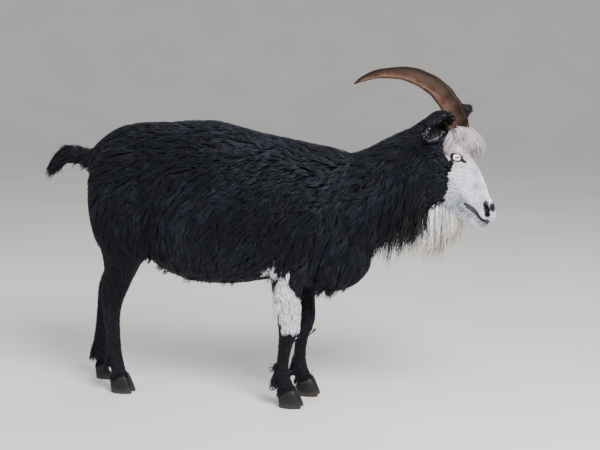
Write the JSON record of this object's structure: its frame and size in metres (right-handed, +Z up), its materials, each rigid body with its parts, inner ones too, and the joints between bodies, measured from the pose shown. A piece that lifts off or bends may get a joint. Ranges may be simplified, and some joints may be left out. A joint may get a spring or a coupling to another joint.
{
  "type": "long-haired domestic goat",
  "caption": "Life-size standing goat with a black medium-long coat, white face and beard, and horns that sweep back in a scimitar curve.",
  "frame": {"origin": "on the floor, under the middle of the whole animal's bounding box", "axes": "+X from tail to muzzle, +Y towards the animal's left side, +Z up"},
  "size_m": [1.2402, 0.3046, 0.8994],
  "materials": {
    "black_coat": "black hair with a cool blue-grey sheen, in wavy locks on the body and short on the legs",
    "face": "short white hair, with a long ivory-white beard and a grey-rose forelock",
    "ear": "black hair, thin at the edge, with some grey-white fringe",
    "eye": "wet and glossy, pale silver-gold iris with a level slit pupil",
    "horn": "satin brown horn, darker along the front and at the tip, with fine growth rings",
    "hoof": "dull near-black horn, dusty grey at the lower edge"
  },
  "bodies": {
    "root": {"torso": "black_coat", "neck": "black_coat", "head": "face", "tail": "black_coat", "foreleg_right": "black_coat", "foreleg_left": "black_coat", "hindleg_right": "black_coat", "hindleg_left": "black_coat", "claw_fore_right_inner": "hoof", "claw_fore_right_outer": "hoof", "claw_fore_left_inner": "hoof", "claw_fore_left_outer": "hoof", "claw_hind_right_inner": "hoof", "claw_hind_right_outer": "hoof", "claw_hind_left_inner": "hoof", "claw_hind_left_outer": "hoof", "ear_right": "ear", "ear_left": "ear", "eye_right": "eye", "eye_left": "eye", "horn_right": "horn", "horn_left": "horn"}
  },
  "joints": []
}
